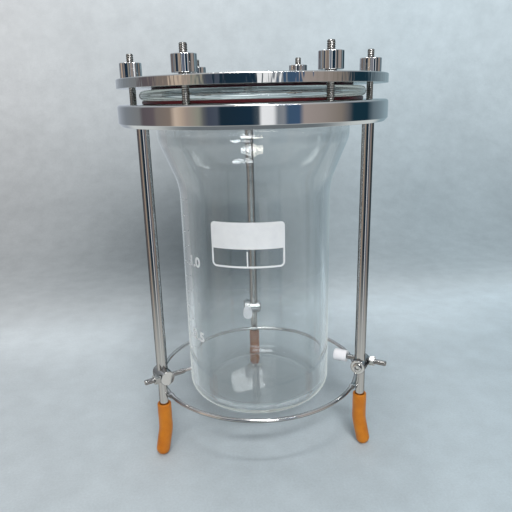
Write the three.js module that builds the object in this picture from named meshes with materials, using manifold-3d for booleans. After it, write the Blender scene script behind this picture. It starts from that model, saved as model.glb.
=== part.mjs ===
// Bench bioreactor vessel: a flanged glass vessel hung in a tripod stand of stainless steel.
// The flange is held between a support ring and an open clamp ring by six studs and fluted nuts.
// Millimetres, +Z up, origin on the floor under the vessel's axis.
import * as THREE from 'three';
import { mergeVertices } from 'three/addons/utils/BufferGeometryUtils.js';
import Module from 'manifold-3d';

const wasm = await Module();
wasm.setup();

// ---- driving dimensions ----
const GAP = 0.3; // clearance between pieces that touch
const VESSEL = {
  outer: 57, wall: 5, bottomZ: 32.5, cornerOuter: 12.5, cornerInner: 8,
  neckOuter: 70.4, flareLowZ: 203.2, flareHighZ: 236.7, blendLow: 13, blendHigh: 4.5,
  flangeOuter: 81.4, flangeLowZ: 264.3, flangeTopZ: 271.3, filletUnder: 2.4, lipRound: 2,
};
const SUPPORT = { inner: 73.2, outer: 96.75, lowZ: 247.4, topZ: 262, bevelIn: 2.2, bevelUp: 2.4, shoulder: 1.9 };
const CLAMP_RING = { inner: 66, outer: 96.3, lowZ: 272.7, topZ: 278.9, easeLow: 0.5, easeTop: 0.9 };
const GASKET = { inner: 73.8, outer: 79.4 };
const SEAL = { inner: 67, outer: 72.4 };
const STUD = { circle: 86.4, radius: 2.5, footZ: 252.5, topZ: 296.4, chamfer: 0.7, count: 6 };
const NUT = {
  radius: 7.8, flutes: 12, fluteDepth: 0.5, fluteHalf: 0.4, topZ: 290.5, bodyLowZ: 279.8,
  collarRadius: 3.7, bore: 2.7, bevel: 0.6,
};
const LEG = {
  circle: 86.4, radius: 4, spigot: 2.5, spigotTopZ: 255, stepZ: 68.4,
  lowerRadius: 3.3, bendTopZ: 25, bendRadius: 30, bendDeg: 12,
};
const FOOT_CIRCLE = LEG.circle + LEG.radius - LEG.lowerRadius; // the thinner rod is flush outside
const SLEEVE = { radius: 5.25, bore: 3.75, topZ: 43.4, boreEndZ: 3.2, flattened: 0.35 };
const BASE_RING = { circle: 80.5, wire: 1.5, z: 47.2, beadAcross: 2.5, beadUp: 2.1 };
const CLAMP = { z: 67.7, radius: 5.5, nearEnd: -6.3, farEnd: 9.7, legBore: 4.3, screwBore: 3.7 };
const SCREW = { radius: 3.4, inner: -4.6, outer: -7.6, socketFlats: 3.2, socketDepth: 1.6 };
const PIN = { side: 6.9, z: 68.6, radius: 2, spigot: 1.4, bore: 2.15, shoulder: 71.5, spigotEnd: 66.3, chamfer: 0.5 };
const LOCKNUT = { flats: 7, start: 92.2, thickness: 4, bevel: 0.35 };
const TIP = { inner: 64, outer: 74.3, innerRadius: 4.65, outerRadius: 4.45, round: 0.9, clear: 0.25 };
const SIDES = [
  { name: 'right', turn: -30, pinEnd: 105, tip: true },
  { name: 'back', turn: 90, pinEnd: 100.2, tip: true },
  { name: 'left', turn: 210, pinEnd: 103.4, tip: false },
];

// ---- finishes ----
const finish = (color, roughness, metalness, extra = {}) => ({ color, roughness, metalness, ...extra });
const POLISHED = finish(0xc9ccce, 0.12, 1);
const SATIN = finish(0xb9b6b0, 0.35, 1);
const GLASS = finish(0xdfeae8, 0.04, 0, { transparent: true, opacity: 0.3 });
const SILICONE = finish(0x5a1420, 0.5, 0);
const RUBBER = finish(0xcc7a22, 0.65, 0);
const PTFE = finish(0xf2f2ee, 0.45, 0);

// ---- geometry helpers ----
const radians = (degrees) => (degrees * Math.PI) / 180;

// Welds shared vertices, drops the empty triangles at poles and makes the faces point outwards.
function welded(geometry) {
  geometry.deleteAttribute('normal');
  geometry.deleteAttribute('uv');
  const merged = mergeVertices(geometry, 1e-4);
  const position = merged.getAttribute('position');
  const source = merged.getIndex().array;
  const index = [];
  for (let i = 0; i < source.length; i += 3) {
    const [a, b, c] = [source[i], source[i + 1], source[i + 2]];
    if (a !== b && b !== c && c !== a) index.push(a, b, c);
  }
  const corner = [new THREE.Vector3(), new THREE.Vector3(), new THREE.Vector3()];
  let volume = 0;
  for (let i = 0; i < index.length; i += 3) {
    corner.forEach((point, k) => point.fromBufferAttribute(position, index[i + k]));
    volume += corner[0].dot(corner[1].cross(corner[2]));
  }
  merged.setIndex(volume < 0 ? index.reverse() : index);
  return merged;
}

function toSolid(geometry) {
  const mesh = welded(geometry);
  return new wasm.Manifold(new wasm.Mesh({
    numProp: 3,
    vertProperties: new Float32Array(mesh.getAttribute('position').array),
    triVerts: new Uint32Array(mesh.getIndex().array),
  }));
}

function toGeometry(solid) {
  const mesh = solid.getMesh();
  const geometry = new THREE.BufferGeometry();
  geometry.setAttribute('position', new THREE.BufferAttribute(new Float32Array(mesh.vertProperties), 3));
  geometry.setIndex(Array.from(mesh.triVerts));
  return geometry;
}

// Turns a profile of [radius, z] points about Z. The profile closes on itself or ends on the axis.
function revolve(profile, segments) {
  const points = profile.map(([radius, z]) => new THREE.Vector2(radius, z));
  return new THREE.LatheGeometry(points, segments).rotateX(Math.PI / 2);
}

// A ring turned from a closed profile: the first point is repeated at the end.
const revolveRing = (profile, segments) => revolve([...profile, profile[0]], segments);

// A turned bar along Z with a chamfer at each end.
function bar(radius, lowZ, topZ, segments, chamfer = 0.4) {
  return revolve([
    [0, lowZ], [radius - chamfer, lowZ], [radius, lowZ + chamfer],
    [radius, topZ - chamfer], [radius - chamfer, topZ], [0, topZ],
  ], segments);
}

// Points on an arc of a profile, from one angle to the other, measured from the +radius direction.
function arc(centreR, centreZ, radius, fromDeg, toDeg, steps) {
  return Array.from({ length: steps + 1 }, (_, i) => {
    const angle = radians(fromDeg + ((toDeg - fromDeg) * i) / steps);
    return [centreR + radius * Math.cos(angle), centreZ + radius * Math.sin(angle)];
  });
}

// Rounds a profile's corner: a parabola that leaves each side at the given distance from the corner.
function blend(before, corner, after, reach, steps) {
  const toward = (target) => {
    const length = Math.hypot(target[0] - corner[0], target[1] - corner[1]);
    return corner.map((value, k) => value + ((target[k] - value) * reach) / length);
  };
  const [start, end] = [toward(before), toward(after)];
  return Array.from({ length: steps + 1 }, (_, i) => {
    const t = i / steps;
    return corner.map((value, k) => (1 - t) ** 2 * start[k] + 2 * t * (1 - t) * value + t ** 2 * end[k]);
  });
}

// A hexagon by its width across flats, with two corners on the X axis.
function hexagon(flats) {
  const corner = flats / Math.sqrt(3);
  const angles = Array.from({ length: 6 }, (_, i) => radians(60 * i));
  return new THREE.Shape(angles.map((a) => new THREE.Vector2(corner * Math.cos(a), corner * Math.sin(a))));
}

const root = new THREE.Group();

function add(parent, name, geometry, look) {
  const mesh = new THREE.Mesh(geometry, new THREE.MeshStandardMaterial(look));
  mesh.name = name;
  parent.add(mesh);
  return mesh;
}

// ---- glass vessel ----
// Outer wall from the bottom's centre to the rim, then the inner wall back down.
function vesselProfile() {
  const v = VESSEL;
  const inner = v.outer - v.wall;
  const neckInner = v.neckOuter - v.wall;
  const half = (v.flangeTopZ - v.flangeLowZ) / 2;
  const rimCentre = v.flangeOuter - half;
  const cornerZ = v.bottomZ + v.cornerOuter;
  const innerFloorZ = v.bottomZ + v.wall;
  const slant = (v.neckOuter - v.outer) / (v.flareHighZ - v.flareLowZ);
  const lift = v.wall * (Math.sqrt(1 + slant * slant) - 1) / slant; // keeps the wall's thickness on the cone
  const low = v.flareLowZ;
  const high = v.flareHighZ;
  return [
    [0, v.bottomZ],
    ...arc(v.outer - v.cornerOuter, cornerZ, v.cornerOuter, -90, 0, 4),
    ...blend([v.outer, 0], [v.outer, low], [v.neckOuter, high], v.blendLow, 3),
    ...blend([v.outer, low], [v.neckOuter, high], [v.neckOuter, 300], v.blendHigh, 2),
    ...arc(v.neckOuter + v.filletUnder, v.flangeLowZ - v.filletUnder, v.filletUnder, 180, 90, 2),
    ...arc(rimCentre, v.flangeLowZ + half, half, -90, 90, 4),
    ...arc(neckInner + v.lipRound, v.flangeTopZ - v.lipRound, v.lipRound, 90, 180, 2),
    ...blend([neckInner, 300], [neckInner, high + lift], [inner, low + lift], v.blendHigh, 2),
    ...blend([neckInner, high + lift], [inner, low + lift], [inner, 0], v.blendLow, 3),
    ...arc(inner - v.cornerInner, innerFloorZ + v.cornerInner, v.cornerInner, 0, -90, 3),
    [0, innerFloorZ],
  ];
}
add(root, 'glass_vessel', welded(revolve(vesselProfile(), 42)), GLASS);

// ---- seals under and over the glass flange ----
function flatRing(inner, outer, lowZ, topZ) {
  return welded(revolveRing([[inner, lowZ], [outer, lowZ], [outer, topZ], [inner, topZ]], 44));
}
const gasket = flatRing(GASKET.inner, GASKET.outer, SUPPORT.topZ + GAP, VESSEL.flangeLowZ - GAP);
add(root, 'flange_gasket', gasket, SILICONE);
const seal = flatRing(SEAL.inner, SEAL.outer, VESSEL.flangeTopZ + GAP, CLAMP_RING.lowZ - GAP);
add(root, 'head_seal', seal, SILICONE);

// ---- support ring: rounded on top and bevelled underneath, bored for the studs and the legs ----
const onCircle = (solid, circle, angle) => solid.translate([circle, 0, 0]).rotate([0, 0, angle]);
const studAngles = Array.from({ length: STUD.count }, (_, i) => (360 / STUD.count) * i);

function supportRing() {
  const s = SUPPORT;
  let ring = toSolid(revolveRing([
    [s.inner, s.lowZ], [s.outer - s.bevelIn, s.lowZ], [s.outer, s.lowZ + s.bevelUp],
    ...arc(s.outer - s.shoulder, s.topZ - s.shoulder, s.shoulder, 0, 90, 3), [s.inner, s.topZ],
  ], 50));
  const studHole = toSolid(bar(STUD.radius + GAP, STUD.footZ - GAP, s.topZ + 5, 12));
  const legHole = toSolid(bar(LEG.spigot + GAP, s.lowZ - 5, LEG.spigotTopZ + GAP, 12));
  for (const angle of studAngles) ring = ring.subtract(onCircle(studHole, STUD.circle, angle));
  for (const side of SIDES) ring = ring.subtract(onCircle(legHole, LEG.circle, side.turn));
  return toGeometry(ring);
}
add(root, 'support_ring', supportRing(), POLISHED);

// ---- clamp ring: a flat open ring with six clearance holes ----
function clampRing() {
  const c = CLAMP_RING;
  let ring = toSolid(revolveRing([
    [c.inner, c.lowZ], [c.outer - c.easeLow, c.lowZ], [c.outer, c.lowZ + c.easeLow],
    ...arc(c.outer - c.easeTop, c.topZ - c.easeTop, c.easeTop, 0, 90, 2), [c.inner, c.topZ],
  ], 50));
  const hole = toSolid(bar(STUD.radius + GAP, c.lowZ - 5, c.topZ + 5, 12));
  for (const angle of studAngles) ring = ring.subtract(onCircle(hole, STUD.circle, angle));
  return toGeometry(ring);
}
add(root, 'clamp_ring', clampRing(), POLISHED);

// ---- studs and fluted nuts ----
// The nut's outline: each flute is a shallow hollow between two narrow lands.
function flutedOutline() {
  const step = (2 * Math.PI) / NUT.flutes;
  const stations = [[-NUT.fluteHalf, 0], [0, 1], [NUT.fluteHalf, 0]]; // place in a flute's share, depth
  const outline = [];
  for (let i = 0; i < NUT.flutes; i++) {
    for (const [place, depth] of stations) {
      const radius = NUT.radius - NUT.bevel - depth * NUT.fluteDepth;
      const angle = (i + place) * step;
      outline.push(new THREE.Vector2(radius * Math.cos(angle), radius * Math.sin(angle)));
    }
  }
  return new THREE.Shape(outline);
}

function nutGeometry() {
  const depth = NUT.topZ - NUT.bodyLowZ - 2 * NUT.bevel;
  const body = new THREE.ExtrudeGeometry(flutedOutline(), {
    depth, steps: 1, curveSegments: 1,
    bevelEnabled: true, bevelThickness: NUT.bevel, bevelSize: NUT.bevel, bevelSegments: 1,
  }).translate(0, 0, NUT.bodyLowZ + NUT.bevel);
  const collar = bar(NUT.collarRadius, CLAMP_RING.topZ + GAP, NUT.bodyLowZ + 1, 12, 0.3);
  const bore = bar(NUT.bore, CLAMP_RING.topZ - 5, NUT.topZ + 5, 10);
  return toGeometry(toSolid(body).add(toSolid(collar)).subtract(toSolid(bore)));
}

studAngles.forEach((angle, i) => {
  const place = new THREE.Group();
  place.rotation.z = radians(angle);
  root.add(place);
  const stud = welded(bar(STUD.radius, STUD.footZ, STUD.topZ, 12, STUD.chamfer));
  add(place, `stud_${i + 1}`, stud, SATIN).position.x = STUD.circle;
  add(place, `nut_${i + 1}`, nutGeometry(), POLISHED).position.x = STUD.circle;
});

// ---- legs, base ring and rubber feet ----
// The lower leg's centre line in its own radial plane: down, round a bend, then outwards to the foot.
const bend = radians(LEG.bendDeg);
const bendEnd = [
  FOOT_CIRCLE + LEG.bendRadius * (1 - Math.cos(bend)),
  LEG.bendTopZ - LEG.bendRadius * Math.sin(bend),
];
const footCentreZ = SLEEVE.radius - SLEEVE.flattened; // centre of the sleeve's rounded end
const alongLastRun = (z) => new THREE.Vector3(bendEnd[0] + (bendEnd[1] - z) * Math.tan(bend), 0, z);

class FootBend extends THREE.Curve {
  getPoint(t, target = new THREE.Vector3()) {
    const angle = t * bend;
    const out = FOOT_CIRCLE + LEG.bendRadius * (1 - Math.cos(angle));
    return target.set(out, 0, LEG.bendTopZ - LEG.bendRadius * Math.sin(angle));
  }
}

function footPath(topZ, endZ) {
  const path = new THREE.CurvePath();
  const top = new THREE.Vector3(FOOT_CIRCLE, 0, LEG.bendTopZ);
  path.add(new THREE.LineCurve3(new THREE.Vector3(FOOT_CIRCLE, 0, topZ), top));
  path.add(new FootBend());
  path.add(new THREE.LineCurve3(alongLastRun(bendEnd[1]), alongLastRun(endZ)));
  return path;
}

// A round rod along a path. A full circle gets two sides for each of its curve segments.
function rodAlong(path, radius, sides, steps) {
  const section = new THREE.Shape().absarc(0, 0, radius, 0, 2 * Math.PI);
  return new THREE.ExtrudeGeometry(section, {
    extrudePath: path, steps, curveSegments: sides / 2, bevelEnabled: false,
  });
}

function legGeometry() {
  const turned = revolve([
    [0, LEG.stepZ], [LEG.radius, LEG.stepZ], [LEG.radius, SUPPORT.lowZ - GAP],
    [LEG.spigot, SUPPORT.lowZ - GAP], [LEG.spigot, LEG.spigotTopZ], [0, LEG.spigotTopZ],
  ], 18).translate(LEG.circle, 0, 0);
  const lower = rodAlong(footPath(LEG.stepZ + 3, SLEEVE.boreEndZ + GAP), LEG.lowerRadius, 14, 8);
  return toGeometry(toSolid(turned).add(toSolid(lower)));
}

// A dipped rubber boot: round-ended, bored for the leg and flattened where it stands.
function sleeveGeometry() {
  const end = alongLastRun(footCentreZ);
  const ball = new THREE.SphereGeometry(SLEEVE.radius, 12, 8).rotateX(Math.PI / 2).rotateY(-bend);
  const skin = toSolid(rodAlong(footPath(SLEEVE.topZ, footCentreZ), SLEEVE.radius, 12, 6));
  const bore = rodAlong(footPath(SLEEVE.topZ + 4, SLEEVE.boreEndZ), SLEEVE.bore, 12, 7);
  const below = new THREE.BoxGeometry(60, 60, 20).translate(end.x, 0, -10);
  const rounded = skin.add(toSolid(ball.translate(end.x, 0, end.z)));
  return toGeometry([bore, below].map(toSolid).reduce((solid, cut) => solid.subtract(cut), rounded));
}

function baseRing() {
  const b = BASE_RING;
  let ring = toSolid(new THREE.TorusGeometry(b.circle, b.wire, 6, 45).translate(0, 0, b.z));
  const legFace = FOOT_CIRCLE - LEG.lowerRadius - GAP;
  const reach = legFace - b.circle;
  const bead = new THREE.SphereGeometry(1, 8, 6).scale(reach, b.beadAcross, b.beadUp);
  const weld = toSolid(bead.translate(0, 0, b.z));
  for (const side of SIDES) ring = ring.add(onCircle(weld, b.circle, side.turn));
  return toGeometry(ring);
}
add(root, 'base_ring', baseRing(), SATIN);

// ---- cross clamps with their stay pins ----
// In a side's own frame +X points outwards and +Y runs round the stand.
const alongY = (geometry) => geometry.rotateX(-Math.PI / 2); // +Z to +Y
const alongX = (geometry) => geometry.rotateY(Math.PI / 2); // +Z to +X

function clampBody() {
  const c = CLAMP;
  const barrel = alongY(bar(c.radius, c.nearEnd, c.farEnd, 18, 0.5)).translate(LEG.circle, 0, c.z);
  const legBore = bar(c.legBore, c.z - 20, c.z + 20, 14).translate(LEG.circle, 0, 0);
  const screwBore = alongY(bar(c.screwBore, c.nearEnd - 5, 0, 14)).translate(LEG.circle, 0, c.z);
  const pinBore = alongX(bar(PIN.bore, LEG.circle - 15, LEG.circle + 15, 12)).translate(0, PIN.side, PIN.z);
  const holes = [legBore, screwBore, pinBore].map(toSolid);
  return toGeometry(holes.reduce((solid, hole) => solid.subtract(hole), toSolid(barrel)));
}

function clampScrew() {
  const s = SCREW;
  const body = alongY(bar(s.radius, s.outer, s.inner, 14, 0.3));
  const socket = new THREE.ExtrudeGeometry(hexagon(s.socketFlats), { depth: s.socketDepth + 1, bevelEnabled: false });
  const cut = alongY(socket.translate(0, 0, s.outer - 1));
  return toGeometry(toSolid(body).subtract(toSolid(cut))).translate(LEG.circle, 0, CLAMP.z);
}

function stayPin(outerEnd) {
  const p = PIN;
  return welded(alongX(revolve([
    [0, p.spigotEnd], [p.spigot, p.spigotEnd], [p.spigot, p.shoulder], [p.radius, p.shoulder],
    [p.radius, outerEnd - p.chamfer], [p.radius - p.chamfer, outerEnd], [0, outerEnd],
  ], 14)).translate(0, p.side, p.z));
}

function locknut() {
  const n = LOCKNUT;
  const body = new THREE.ExtrudeGeometry(hexagon(n.flats - 2 * n.bevel), {
    depth: n.thickness - 2 * n.bevel, steps: 1,
    bevelEnabled: true, bevelThickness: n.bevel, bevelSize: n.bevel, bevelSegments: 1,
  }).translate(0, 0, n.start + n.bevel);
  const bore = bar(PIN.bore, n.start - 5, n.start + n.thickness + 5, 14);
  const nut = toGeometry(toSolid(body).subtract(toSolid(bore)));
  return alongX(nut).translate(0, PIN.side, PIN.z);
}

// The soft tip is bored to fit over the pin's spigot and shoulder.
function pinTip() {
  const t = TIP;
  const boreEnd = PIN.spigotEnd - t.clear;
  const shoulder = PIN.shoulder - t.clear;
  return welded(alongX(revolve([
    [0, t.inner], [t.innerRadius - t.round, t.inner], [t.innerRadius, t.inner + t.round],
    [t.outerRadius, t.outer], [PIN.radius + t.clear, t.outer], [PIN.radius + t.clear, shoulder],
    [PIN.spigot + t.clear, shoulder], [PIN.spigot + t.clear, boreEnd], [0, boreEnd],
  ], 14)).translate(0, PIN.side, PIN.z));
}

for (const side of SIDES) {
  const place = new THREE.Group();
  place.rotation.z = radians(side.turn);
  root.add(place);
  add(place, `leg_${side.name}`, legGeometry(), SATIN);
  add(place, `foot_sleeve_${side.name}`, sleeveGeometry(), RUBBER);
  add(place, `clamp_body_${side.name}`, clampBody(), SATIN);
  add(place, `clamp_screw_${side.name}`, clampScrew(), SATIN);
  add(place, `pin_locknut_${side.name}`, locknut(), POLISHED);
  add(place, `stay_pin_${side.name}`, stayPin(side.pinEnd), SATIN);
  if (side.tip) add(place, `pin_tip_${side.name}`, pinTip(), PTFE);
}

export default root;
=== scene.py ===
# Bench bioreactor vessel: the looks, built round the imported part. Lengths are in metres, +Z is up.
import bpy
import numpy as np
from math import radians
from mathutils import Matrix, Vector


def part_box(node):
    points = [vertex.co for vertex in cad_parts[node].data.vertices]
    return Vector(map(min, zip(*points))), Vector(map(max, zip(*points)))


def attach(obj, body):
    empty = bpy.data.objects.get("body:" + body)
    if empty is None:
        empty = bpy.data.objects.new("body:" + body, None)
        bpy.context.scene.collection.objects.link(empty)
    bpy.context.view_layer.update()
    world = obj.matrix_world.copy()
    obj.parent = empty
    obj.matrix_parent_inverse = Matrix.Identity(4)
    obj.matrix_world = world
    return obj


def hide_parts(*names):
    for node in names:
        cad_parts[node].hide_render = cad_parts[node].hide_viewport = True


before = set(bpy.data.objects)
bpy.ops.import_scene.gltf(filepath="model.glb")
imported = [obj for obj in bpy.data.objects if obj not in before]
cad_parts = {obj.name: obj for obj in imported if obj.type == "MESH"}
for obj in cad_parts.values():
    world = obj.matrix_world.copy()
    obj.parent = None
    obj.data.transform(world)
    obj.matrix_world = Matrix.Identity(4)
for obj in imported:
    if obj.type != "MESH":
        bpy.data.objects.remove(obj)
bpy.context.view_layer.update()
mm = 0.001
scene = bpy.context.scene


# Turns a grid of points, rows by columns, into a mesh. Columns close round the piece, and rows
# close too when loop is set. A row whose points all meet becomes one pole with a fan of triangles.
# The UV map runs in metres: u round the piece, v along the rows.
def gridMesh(name, points, loop=False, wrap=True, sharpDeg=32):
    rows, cols = points.shape[:2]
    index = np.arange(rows * cols).reshape(rows, cols)
    pole = np.ptp(points, axis=1).max(axis=1) < 1e-9
    index[pole] = index[pole][:, :1]
    step = np.linalg.norm(np.diff(points, axis=0, append=points[:1]), axis=2).mean(axis=1)
    along = np.concatenate([[0.0], np.cumsum(step)])
    across = np.linalg.norm(np.diff(points, axis=1, append=points[:, :1]), axis=2).sum(axis=1).max()
    r = np.arange(rows if loop else rows - 1)[:, None]
    c = np.arange(cols if wrap else cols - 1)[None, :]
    r1, c1 = r + 1, c + 1
    corner = [(r, c), (r, c1), (r1, c1), (r1, c)]
    quads = np.stack([index[a % rows, b % cols] + 0 * (r + c) for a, b in corner], -1).reshape(-1, 4)
    u = np.stack([across * b / cols + 0 * (r + c) for a, b in corner], -1).reshape(-1, 4)
    v = np.stack([along[a] + 0 * (r + c) for a, b in corner], -1).reshape(-1, 4)
    flatTop, flatEnd = quads[:, 0] == quads[:, 1], quads[:, 2] == quads[:, 3]
    full = ~(flatTop | flatEnd)
    used = np.unique(index)
    remap = np.zeros(rows * cols, int)
    remap[used] = np.arange(len(used))
    faces, uvs = remap[quads[full]].tolist(), [np.stack([u[full], v[full]], -1).reshape(-1, 2)]
    for mask, keep in ((flatTop, [1, 2, 3]), (flatEnd & ~flatTop, [0, 1, 2])):
        faces += remap[quads[mask][:, keep]].tolist()
        uvs.append(np.stack([u[mask][:, keep], v[mask][:, keep]], -1).reshape(-1, 2))
    mesh = bpy.data.meshes.new(name)
    mesh.from_pydata(points.reshape(-1, 3)[used].tolist(), [], faces)
    mesh.uv_layers.new(name="skin").data.foreach_set("uv", np.concatenate(uvs).ravel())
    mesh.polygons.foreach_set("use_smooth", np.ones(len(mesh.polygons), bool))
    mesh.update()
    if signedVolume(mesh) < 0 and wrap:
        mesh.flip_normals()
    mesh.set_sharp_from_angle(angle=radians(sharpDeg))
    return mesh


# Six times the volume a closed mesh holds: the sum of a . (b x c) over its triangles.
def signedVolume(mesh):
    mesh.calc_loop_triangles()
    tri = np.zeros(len(mesh.loop_triangles) * 3, np.int32)
    mesh.loop_triangles.foreach_get("vertices", tri)
    co = np.zeros(len(mesh.vertices) * 3)
    mesh.vertices.foreach_get("co", co)
    a, b, c = np.moveaxis(co.reshape(-1, 3)[tri.reshape(-1, 3)], 1, 0)
    return float(np.einsum("ij,ij->i", a, np.cross(b, c)).sum())


# Rounds the corners of an outline of (radius, height) points. Each corner becomes an arc between
# its two tangent points, and a spare point beyond each keeps the flats flat when shaded smooth.
def rounded(corners, radii, steps=6, loop=True, spare=0.15 * mm):
    corners = np.array(corners, float)
    count, out = len(corners), []
    for i, radius in enumerate(np.broadcast_to(radii, count)):
        here = corners[i]
        if radius <= 0 or (not loop and i in (0, count - 1)):
            out.append(here[None])
            continue
        back, ahead = corners[i - 1] - here, corners[(i + 1) % count] - here
        d1, d2 = back / np.linalg.norm(back), ahead / np.linalg.norm(ahead)
        half = np.arccos(np.clip(d1 @ d2, -1, 1)) / 2
        reach = radius / np.tan(half)
        centre = here + (d1 + d2) / np.linalg.norm(d1 + d2) * radius / np.sin(half)
        start, end = here + d1 * reach - centre, here + d2 * reach - centre
        sweep = np.pi - 2 * half
        k = np.linspace(0, 1, steps + 1)[:, None]
        arc = centre + (np.sin((1 - k) * sweep) * start + np.sin(k * sweep) * end) / np.sin(sweep)
        out += [(here + d1 * (reach + spare))[None], arc, (here + d2 * (reach + spare))[None]]
    return np.concatenate(out)


# Splits every stretch of an outline longer than a step into equal shorter ones.
def divided(outline, step):
    parts = []
    for a, b in zip(outline[:-1], outline[1:]):
        n = max(1, int(np.ceil(np.linalg.norm(b - a) / step)))
        parts.append(a + (b - a) * (np.arange(n) / n)[:, None])
    return np.concatenate(parts + [outline[-1:]])


# Angles spread evenly round a full turn.
def fullTurn(count):
    return np.linspace(0, 2 * np.pi, count, endpoint=False)


# Points at a radius, an angle about Z and a height: (r cos t, r sin t, z).
def around(r, t, z):
    return np.stack([r * np.cos(t), r * np.sin(t), z + 0 * t], -1)


# An outline of (radius, height) points turned about Z.
def turned(outline, segments):
    return around(outline[:, :1], fullTurn(segments), outline[:, 1:])


# Sets points drawn about their own Z axis at a place, with their X, Y and Z along given directions.
def placed(points, origin, axes):
    return np.array(origin) + points @ np.array(axes, float)


# A machine thread about Z: the radius falls from crest to root as a soft triangle wave of
# z / pitch - angle / 2 pi, and the chamfered ends cut it down.
def threaded(radius, depth, pitch, low, high, segments=22, chamfer=0.6 * mm, perTurn=6):
    z = np.linspace(low, high, int((high - low) / pitch * perTurn) + 1)
    z = np.concatenate([[low], z, [high]])[:, None]
    t = fullTurn(segments)[None, :]
    wave = np.abs((z / pitch - t / (2 * np.pi)) % 1 - 0.5) * 2
    r = radius - depth * (wave * wave * (3 - 2 * wave))
    ends = radius - chamfer + np.minimum(z - low, high - z)
    r = np.minimum(r, ends)
    r[[0, -1]] = 0
    return around(r, t, z)


# Adds a piece from a mesh, or from a grid of points with gridMesh's settings.
def addPiece(name, shape, material, body, slot, nodes=(), **settings):
    mesh = gridMesh(name, shape, **settings) if isinstance(shape, np.ndarray) else shape
    piece = bpy.data.objects.new(name, mesh)
    scene.collection.objects.link(piece)
    mesh.materials.append(material)
    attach(piece, body)
    if nodes:
        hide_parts(*nodes)
    return piece


# A level direction, turned from +X about Z.
def unit(degrees):
    return np.array([np.cos(radians(degrees)), np.sin(radians(degrees)), 0.0])


# An empty node group with its sockets, and the nodes that its values come from and go to.
def newGroup(name, inputs, outputs):
    group = bpy.data.node_groups.new(name, "ShaderNodeTree")
    for label, kind, value in inputs:
        socket = group.interface.new_socket(label, in_out="INPUT", socket_type="NodeSocket" + kind)
        socket.default_value = value
    for label, kind in outputs:
        group.interface.new_socket(label, in_out="OUTPUT", socket_type="NodeSocket" + kind)
    return group, group.nodes.new("NodeGroupInput"), group.nodes.new("NodeGroupOutput")


# Sets a node's inputs. A value that is another node, or one of its outputs, is linked instead.
def fill(tree, node, values):
    for key, value in dict(values).items():
        if isinstance(value, bpy.types.Node):
            value = value.outputs[0]
        if isinstance(value, bpy.types.NodeSocket):
            tree.links.new(value, node.inputs[key])
        else:
            node.inputs[key].default_value = value
    return node


def addNode(tree, kind, values=(), **settings):
    node = tree.nodes.new(kind)
    for key, value in settings.items():
        setattr(node, key, value)
    return fill(tree, node, values)


def calc(tree, operation, *values, **settings):
    return addNode(tree, "ShaderNodeMath", enumerate(values), operation=operation, **settings)


def scaled(tree, colour, amount):
    return addNode(tree, "ShaderNodeVectorMath", {0: colour, "Scale": amount}, operation="SCALE")


def blended(tree, share, first, second):
    return addNode(tree, "ShaderNodeMix", {0: share, 6: first, 7: second}, data_type="RGBA").outputs[2]


def ranged(tree, value, start, end, low=0.0, high=1.0, **settings):
    return addNode(tree, "ShaderNodeMapRange", {"Value": value, "From Min": start, "From Max": end,
                                                "To Min": low, "To Max": high}, **settings)


def objectPlace(tree):
    return addNode(tree, "ShaderNodeTexCoord").outputs["Object"]


def addNoise(tree, vector, scale, detail, roughness, distortion=0.0):
    return addNode(tree, "ShaderNodeTexNoise", {"Vector": vector, "Scale": scale, "Detail": detail,
                                                "Roughness": roughness, "Distortion": distortion})


# Stretches are in repeats per metre. The smear noise takes the roughness from smooth, at smearFrom,
# to dull, at smearTo.
toolMark = {"lineStretch": 35.0, "rippleStretch": (340, 70, 1), "smearFrom": 0.35, "smearTo": 0.75}


# Fine lines left by turning and polishing, the slow ripple of a hand-polished face, and the faint
# smears of handling. Out: a height, in line depths, and a roughness that wanders between two values.
def makeToolMarks():
    group, come, go = newGroup("tool marks",
        [("Lines per mm", "Float", 6.0), ("Ripple", "Float", 8.0), ("Smooth", "Float", 0.1),
         ("Dull", "Float", 0.25), ("Smear scale", "Float", 60.0)],
        [("Height", "Float"), ("Roughness", "Float")])
    uv = addNode(group, "ShaderNodeUVMap", uv_map="skin")
    split = addNode(group, "ShaderNodeSeparateXYZ", {0: uv})
    linesPerMetre = calc(group, "MULTIPLY", come.outputs["Lines per mm"], 1000.0)
    across = calc(group, "MULTIPLY", split.outputs[1], linesPerMetre)
    along = calc(group, "MULTIPLY", split.outputs[0], toolMark["lineStretch"])
    lines = addNoise(group, addNode(group, "ShaderNodeCombineXYZ", {0: along, 1: across}), 1.0, 2.0, 0.6)
    slow = addNode(group, "ShaderNodeMapping", {"Vector": uv, "Scale": toolMark["rippleStretch"]})
    ripple = addNoise(group, slow, 1.0, 1.0, 0.4)
    height = calc(group, "MULTIPLY_ADD", ripple, come.outputs["Ripple"], lines)
    smear = addNoise(group, objectPlace(group), come.outputs["Smear scale"], 4.0, 0.62, 0.6)
    roughness = ranged(group, smear, toolMark["smearFrom"], toolMark["smearTo"], come.outputs["Smooth"],
                       come.outputs["Dull"], interpolation_type="SMOOTHSTEP")
    fill(group, go, {"Height": height, "Roughness": roughness})
    return group


# Soft blotches for moulded rubber and plastic: a colour between two, and a fine grain height.
def makeMottle():
    group, come, go = newGroup("mottle",
        [("Colour", "Color", (1, 1, 1, 1)), ("Shade", "Color", (0, 0, 0, 1)),
         ("Blotch scale", "Float", 90.0), ("Grain scale", "Float", 1500.0)],
        [("Colour", "Color"), ("Height", "Float")])
    place = objectPlace(group)
    blotch = addNoise(group, place, come.outputs["Blotch scale"], 3.0, 0.55)
    grain = addNoise(group, place, come.outputs["Grain scale"], 2.0, 0.5)
    spread = ranged(group, blotch, 0.3, 0.7)
    colour = blended(group, spread, come.outputs["Colour"], come.outputs["Shade"])
    fill(group, go, {"Colour": colour, "Height": grain})
    return group


toolMarks, mottle = makeToolMarks(), makeMottle()


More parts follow.
